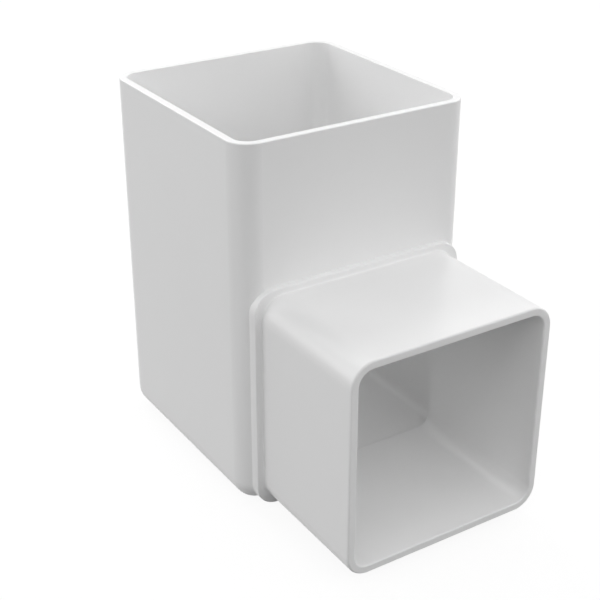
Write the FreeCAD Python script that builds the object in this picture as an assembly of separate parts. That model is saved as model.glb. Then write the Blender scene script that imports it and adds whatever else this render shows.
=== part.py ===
import FreeCAD, Part
import os

# Square downspout elbow, moulded in one piece, in millimetres.
# +Z runs up the socket axis, the outlet leaves along -Y, and the origin is the middle of the flat underside.

# The square pipe that the elbow joins
pipe_width = 65.0
pipe_wall = 1.8

# Play on each side, of the upper pipe in the socket and of the spigot in the lower pipe
socket_clearance = 0.4
spigot_clearance = 0.3

# The moulding
body_wall = 2.1
spigot_wall = 2.3
floor_thickness = 3.5
corner_round = 6.4
floor_round = 2.5
socket_length = 40.6
spigot_length = 41.5

# Rounds of the outer and the inner edges of the two open ends, the rim and the mouth
rim_outer_round = 0.3
rim_inner_round = 0.12
mouth_outer_round = 0.55
mouth_inner_round = 0.45

# Collar ring round the root of the spigot: a plain band with its front edge rounded and a fillet
# at the spigot, held clear of the plane that the base stands on
collar_height = 1.9
collar_thickness = 1.7
collar_round = 0.3
collar_fillet = 0.5
collar_lift = 0.6

# Sizes that follow from those above
socket_width = pipe_width + 2 * socket_clearance
body_width = socket_width + 2 * body_wall
spigot_width = pipe_width - 2 * (pipe_wall + spigot_clearance)
bore_width = spigot_width - 2 * spigot_wall
socket_round = corner_round - body_wall
bore_round = corner_round - spigot_wall
collar_width = spigot_width + 2 * collar_height
spigot_rise = collar_lift + collar_height
spigot_axis_height = spigot_rise + spigot_width / 2
body_height = spigot_rise + spigot_width + socket_length
front = -body_width / 2
collar_face = front - collar_thickness
mouth = front - spigot_length
# The outlet's solids start behind the rounded edges of the body's front
outlet_start = front + corner_round

up = FreeCAD.Vector(0, 0, 1)
outlet = FreeCAD.Vector(0, -1, 0)
tolerance = 1e-4


def edges_along(shape, direction):
    """Straight edges of a box that run along a direction."""
    found = []
    for edge in shape.Edges:
        run = edge.Vertexes[-1].Point - edge.Vertexes[0].Point
        if run.normalize().cross(direction).Length < tolerance:
            found.append(edge)
    return found


def end_face(shape, direction, distance):
    """Flat face that looks along a direction, at a distance from the origin."""
    for face in shape.Faces:
        flat = isinstance(face.Surface, Part.Plane)
        placed = abs(face.CenterOfMass.dot(direction) - distance) < tolerance
        if flat and placed and face.normalAt(0, 0).isEqual(direction, tolerance):
            return face
    raise ValueError("no flat face at %.3f along %s" % (distance, direction))


def inner_edges(face):
    """Edges of the hole in a ring-shaped face."""
    holes = [wire for wire in face.Wires if not wire.isSame(face.OuterWire)]
    return holes[0].Edges


def standing_block(width, bottom, top, upright_radius, lower_radius):
    """Upright square block on the socket axis, its upright edges rounded first and then its lower edges."""
    corner = FreeCAD.Vector(-width / 2, -width / 2, bottom)
    block = Part.makeBox(width, width, top - bottom, corner)
    column = block.makeFillet(upright_radius, edges_along(block, up))
    underside = end_face(column, -up, -bottom)
    return column.makeFillet(lower_radius, underside.OuterWire.Edges)


def outlet_block(width, start, end, radius):
    """Square block along the outlet axis, its long edges rounded."""
    corner = FreeCAD.Vector(-width / 2, end, spigot_axis_height - width / 2)
    block = Part.makeBox(width, start - end, width, corner)
    return block.makeFillet(radius, edges_along(block, outlet))


def collar_block():
    """Block that carries the collar ring, its front edge rounded."""
    block = outlet_block(collar_width, outlet_start, collar_face, corner_round)
    front_face = end_face(block, outlet, -collar_face)
    return block.makeFillet(collar_round, front_face.OuterWire.Edges)


def outside():
    """Outer form: body, collar and spigot, with a fillet where the spigot leaves the collar."""
    body = standing_block(body_width, 0, body_height, corner_round, corner_round)
    spigot = outlet_block(spigot_width, outlet_start, mouth, corner_round)
    joined = body.fuse([collar_block(), spigot]).removeSplitter()
    collar_front = end_face(joined, outlet, -collar_face)
    return joined.makeFillet(collar_fillet, inner_edges(collar_front))


def finish_end(shape, direction, distance, outer_radius, inner_radius):
    """Round the outer edge of an open end and then its inner edge."""
    outer_edge = end_face(shape, direction, distance).OuterWire.Edges
    rounded = shape.makeFillet(outer_radius, outer_edge)
    inner_edge = inner_edges(end_face(rounded, direction, distance))
    return rounded.makeFillet(inner_radius, inner_edge)


def elbow():
    """The whole elbow: the outer form, hollowed by the socket and the outlet bore."""
    socket_top = body_height + body_wall
    socket = standing_block(socket_width, floor_thickness, socket_top, socket_round, floor_round)
    bore = outlet_block(bore_width, outlet_start, mouth - spigot_wall, bore_round)
    hollow = outside().cut([socket, bore])
    with_rim = finish_end(hollow, up, body_height, rim_outer_round, rim_inner_round)
    return finish_end(with_rim, outlet, -mouth, mouth_outer_round, mouth_inner_round)


os.makedirs("parts", exist_ok=True)
solid = elbow().Solids[0]
solid.exportStep("parts/downspout_elbow.step")
print("valid", solid.isValid(), "faces", len(solid.Faces), "volume %.1f mm3" % solid.Volume)
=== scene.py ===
"""Square downspout elbow in white plastic: its finish, a pale studio and the camera.

Lengths are in metres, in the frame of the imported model.
"""

import logging
import math
from dataclasses import dataclass
from enum import Enum

import bmesh
import bpy
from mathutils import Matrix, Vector


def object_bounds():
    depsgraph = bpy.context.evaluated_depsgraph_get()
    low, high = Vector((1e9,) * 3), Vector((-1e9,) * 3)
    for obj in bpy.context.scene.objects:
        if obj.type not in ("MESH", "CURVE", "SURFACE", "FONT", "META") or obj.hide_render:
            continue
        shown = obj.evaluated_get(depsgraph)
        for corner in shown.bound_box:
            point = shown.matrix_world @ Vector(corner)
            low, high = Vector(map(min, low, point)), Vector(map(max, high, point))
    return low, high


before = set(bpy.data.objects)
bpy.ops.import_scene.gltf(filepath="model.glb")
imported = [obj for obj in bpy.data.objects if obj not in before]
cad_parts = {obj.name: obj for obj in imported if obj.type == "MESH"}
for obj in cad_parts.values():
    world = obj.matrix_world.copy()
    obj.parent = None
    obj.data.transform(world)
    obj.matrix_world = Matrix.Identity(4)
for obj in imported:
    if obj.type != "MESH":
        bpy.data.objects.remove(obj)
cad_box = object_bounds()

MILLIMETRE = 0.001
WHITE = 1.0
NOISE_MIDDLE = 0.5
log = logging.getLogger("downspout_elbow")


class MathStep(Enum):
    """What a Math node does with its two numbers."""

    ADD = "ADD"
    SUBTRACT = "SUBTRACT"
    MULTIPLY = "MULTIPLY"
    LARGER = "MAXIMUM"


class RayKind(Enum):
    """The rays that meet the background as a picture and not as light."""

    CAMERA = "Is Camera Ray"
    GLOSSY = "Is Glossy Ray"
    TRANSMISSION = "Is Transmission Ray"


class Wire:
    """An output socket that takes part in Python arithmetic."""

    def __init__(self, board: "Board", socket: bpy.types.NodeSocket | None) -> None:
        """Hold the board and the socket on it, which is None for a last node."""
        self.board = board
        self.socket = socket

    def __add__(self, other: "Wire | float") -> "Wire":
        """This value plus another."""
        return self.board.math(MathStep.ADD, self, other)

    def __radd__(self, other: float) -> "Wire":
        """A number plus this value."""
        return self.board.math(MathStep.ADD, other, self)

    def __sub__(self, other: "Wire | float") -> "Wire":
        """This value less another."""
        return self.board.math(MathStep.SUBTRACT, self, other)

    def __rsub__(self, other: float) -> "Wire":
        """A number less this value."""
        return self.board.math(MathStep.SUBTRACT, other, self)

    def __mul__(self, other: "Wire | float") -> "Wire":
        """This value times another."""
        return self.board.math(MathStep.MULTIPLY, self, other)

    def __rmul__(self, other: float) -> "Wire":
        """A number times this value."""
        return self.board.math(MathStep.MULTIPLY, other, self)


class Board:
    """The node tree of a material or of the world, emptied for new nodes."""

    def __init__(self, owner: bpy.types.Material | bpy.types.World) -> None:
        """Turn on the owner's nodes and clear them."""
        owner.use_nodes = True
        self.tree = owner.node_tree
        self.tree.nodes.clear()

    def node(
        self,
        kind: str,
        settings: dict[str, object] | None = None,
        sockets: dict[str | int, object] | None = None,
        output: str | int = 0,
    ) -> Wire:
        """Add one node.

        Args:
            kind: The node's type, such as ShaderNodeTexNoise.
            settings: Values of the node's own properties, set first.
            sockets: Values or wires for its inputs, by name or number.
            output: The output that the caller goes on with.

        Returns:
            The chosen output as a wire.
        """
        made = self.tree.nodes.new(kind)
        for name, value in (settings or {}).items():
            setattr(made, name, value)
        for name, value in (sockets or {}).items():
            if isinstance(value, Wire):
                self.tree.links.new(value.socket, made.inputs[name])
            else:
                made.inputs[name].default_value = value
        return Wire(self, made.outputs[output] if len(made.outputs) else None)

    def math(self, step: MathStep, first: Wire | float, second: Wire | float) -> Wire:
        """A Math node on two values."""
        settings = {"operation": step.value}
        return self.node("ShaderNodeMath", settings, {0: first, 1: second})

    def seen(self) -> Wire:
        """1 for a ray that shows the background, and 0 for one that gathers light."""
        camera, glossy, transmission = (
            self.node("ShaderNodeLightPath", output=ray.value) for ray in RayKind
        )
        mirrored = self.math(MathStep.LARGER, glossy, transmission)
        return self.math(MathStep.LARGER, camera, mirrored)


def grey(level: float) -> tuple[float, float, float, float]:
    """A neutral colour of one level, opaque."""
    return (level, level, level, 1.0)


@dataclass(frozen=True)
class Bearing:
    """A direction seen from the elbow, in degrees.

    Azimuth 0 is the outlet's side and 90 the +X side. Elevation is from the level.
    """

    azimuth: float
    elevation: float

    def direction(self) -> Vector:
        """Unit vector from the elbow towards this bearing."""
        turn = math.radians(self.azimuth)
        rise = math.radians(self.elevation)
        level = math.cos(rise)
        return Vector((math.sin(turn) * level, -math.cos(turn) * level, math.sin(rise)))


@dataclass(frozen=True)
class MouldedPlastic:
    """White rigid plastic from a polished mould, satin.

    It has hardly visible flow, patches of gloss and orange peel, each a noise with
    its own size and detail.
    """

    name: str = "moulded_white_plastic"
    dark: float = 0.87
    light: float = 0.89
    roughness: float = 0.34
    roughness_spread: float = 0.08
    refraction: float = 1.53
    flow_size: float = 26 * MILLIMETRE
    flow_detail: float = 3.0
    gloss_size: float = 7 * MILLIMETRE
    gloss_detail: float = 2.0
    peel_size: float = 1.6 * MILLIMETRE
    peel_detail: float = 1.0
    peel_height: float = 0.002 * MILLIMETRE

    def noise(self, board: Board, size: float, detail: float) -> Wire:
        """Smooth noise on object coordinates, from 0 to 1, with patches of one size."""
        place = board.node("ShaderNodeTexCoord", output="Object")
        sockets = {"Vector": place, "Scale": 1 / size, "Detail": detail}
        return board.node("ShaderNodeTexNoise", sockets=sockets, output="Fac")

    def material(self) -> bpy.types.Material:
        """Make the material.

        Returns:
            A material whose colour, roughness and bump vary a little over the surface.
        """
        made = bpy.data.materials.new(self.name)
        board = Board(made)
        flow = self.noise(board, self.flow_size, self.flow_detail)
        gloss = self.noise(board, self.gloss_size, self.gloss_detail)
        peel = self.noise(board, self.peel_size, self.peel_detail)
        colour = board.node(
            "ShaderNodeMix",
            {"data_type": "RGBA"},
            {"Factor": flow, "A": grey(self.dark), "B": grey(self.light)},
            output="Result",
        )
        rough = self.roughness + (gloss - NOISE_MIDDLE) * self.roughness_spread
        bump = board.node(
            "ShaderNodeBump",
            sockets={"Height": peel, "Distance": self.peel_height},
        )
        shader = board.node(
            "ShaderNodeBsdfPrincipled",
            sockets={
                "Base Color": colour,
                "Roughness": rough,
                "Normal": bump,
                "IOR": self.refraction,
            },
        )
        board.node("ShaderNodeOutputMaterial", sockets={"Surface": shader})
        return made


@dataclass
class Elbow:
    """The moulded elbow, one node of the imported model."""

    node: str = "downspout_elbow"
    finish: MouldedPlastic = MouldedPlastic()

    def dress(self) -> None:
        """Give the node its finish."""
        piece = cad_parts[self.node]
        piece.data.materials.clear()
        piece.data.materials.append(self.finish.material())
        log.info("%s: %s", piece.name, self.finish.name)


@dataclass(frozen=True)
class PaleGround:
    """Floor that shows as a white background and still takes the elbow's shadow."""

    name: str = "pale_ground"
    bounce: float = 0.2
    shown: float = 0.12
    glow: float = 0.9

    def material(self) -> bpy.types.Material:
        """Make the material: plain grey for light, mostly glow where it is seen."""
        made = bpy.data.materials.new(self.name)
        board = Board(made)
        plain, lit = (
            board.node("ShaderNodeBsdfDiffuse", sockets={"Color": grey(level)})
            for level in (self.bounce, self.shown)
        )
        glow = board.node(
            "ShaderNodeEmission",
            sockets={"Color": grey(WHITE), "Strength": self.glow},
        )
        picture = board.node("ShaderNodeAddShader", sockets={0: lit, 1: glow})
        shader = board.node(
            "ShaderNodeMixShader",
            sockets={0: board.seen(), 1: plain, 2: picture},
        )
        board.node("ShaderNodeOutputMaterial", sockets={"Surface": shader})
        return made


@dataclass
class Floor:
    """The plane that the elbow stands on."""

    half_width: float = 1.4
    ground: PaleGround = PaleGround()

    def build(self) -> None:
        """Model the floor at the foot of the elbow and dress it."""
        plane = bmesh.new()
        bmesh.ops.create_grid(plane, x_segments=1, y_segments=1, size=self.half_width)
        bmesh.ops.translate(plane, verts=plane.verts, vec=(0.0, 0.0, cad_box[0].z))
        mesh = bpy.data.meshes.new("floor")
        plane.to_mesh(mesh)
        plane.free()
        mesh.materials.append(self.ground.material())
        floor = bpy.data.objects.new("floor", mesh)
        bpy.context.scene.collection.objects.link(floor)
        log.info("floor: %.1f m wide", 2 * self.half_width)


@dataclass(frozen=True)
class Softbox:
    """A square soft lamp that looks at the elbow's middle, its power in watts."""

    name: str
    bearing: Bearing
    power: float
    side: float = 1.8
    distance: float = 3.0

    def build(self) -> None:
        """Hang the lamp."""
        data = bpy.data.lights.new(self.name, "AREA")
        data.shape = "SQUARE"
        data.size = self.side
        data.energy = self.power
        lamp = bpy.data.objects.new(self.name, data)
        middle = (cad_box[0] + cad_box[1]) / 2
        away = self.bearing.direction()
        lamp.location = middle + away * self.distance
        lamp.rotation_euler = away.to_track_quat("Z", "Y").to_euler()
        lamp.visible_camera = False
        bpy.context.scene.collection.objects.link(lamp)
        log.info("%s: %.1f W", self.name, self.power)


@dataclass
class Studio:
    """Soft light from all round, with a white background."""

    softboxes: tuple[Softbox, ...] = (
        Softbox("low_front_softbox", Bearing(0, 20), 4.5),
        Softbox("front_softbox", Bearing(0, 38), 15.0),
        Softbox("front_right_softbox", Bearing(30, 38), 10.9),
        Softbox("low_right_softbox", Bearing(60, 20), 20.9),
        Softbox("right_softbox", Bearing(90, 20), 19.1),
        Softbox("back_right_softbox", Bearing(120, 38), 18.9),
        Softbox("high_back_softbox", Bearing(150, 60), 6.6),
        Softbox("low_back_softbox", Bearing(180, 20), 12.0),
        Softbox("back_softbox", Bearing(180, 38), 29.7),
        Softbox("back_left_softbox", Bearing(-120, 20), 29.2),
        Softbox("left_softbox", Bearing(-90, 20), 5.0),
        Softbox("high_left_softbox", Bearing(-90, 60), 7.3),
        Softbox("front_left_softbox", Bearing(-60, 38), 21.1),
    )

    def build(self) -> None:
        """Make the world and hang the lamps."""
        world = bpy.data.worlds.new("studio")
        bpy.context.scene.world = world
        world.cycles.sampling_method = "NONE"
        board = Board(world)
        light = board.node(
            "ShaderNodeBackground",
            sockets={"Color": grey(WHITE), "Strength": board.seen()},
        )
        board.node("ShaderNodeOutputWorld", sockets={"Surface": light})
        for softbox in self.softboxes:
            softbox.build()


@dataclass(frozen=True)
class StillCamera:
    """The camera at the photograph's viewing angle, lens and sensor in millimetres."""

    bearing: Bearing = Bearing(-32.419, 26.867)
    aim: tuple[float, float, float] = (-0.006484, -0.017114, 0.048612)
    distance: float = 0.34479
    near: float = 0.01
    lens: float = 75.11
    sensor: float = 36.0

    def build(self) -> None:
        """Set up the camera and make it the scene's."""
        data = bpy.data.cameras.new("still_camera")
        data.lens = self.lens
        data.sensor_width = self.sensor
        data.clip_start = self.near
        camera = bpy.data.objects.new("still_camera", data)
        away = self.bearing.direction()
        camera.location = Vector(self.aim) + away * self.distance
        camera.rotation_euler = away.to_track_quat("Z", "Y").to_euler()
        bpy.context.scene.collection.objects.link(camera)
        bpy.context.scene.camera = camera
        log.info("camera: %.0f mm lens", self.lens)


def main() -> None:
    """Dress the elbow and set up the studio."""
    logging.basicConfig(level=logging.INFO, format="%(name)s: %(message)s")
    bpy.context.scene.view_settings.view_transform = "Standard"
    Elbow().dress()
    Floor().build()
    Studio().build()
    StillCamera().build()


if __name__ == "__main__":
    main()
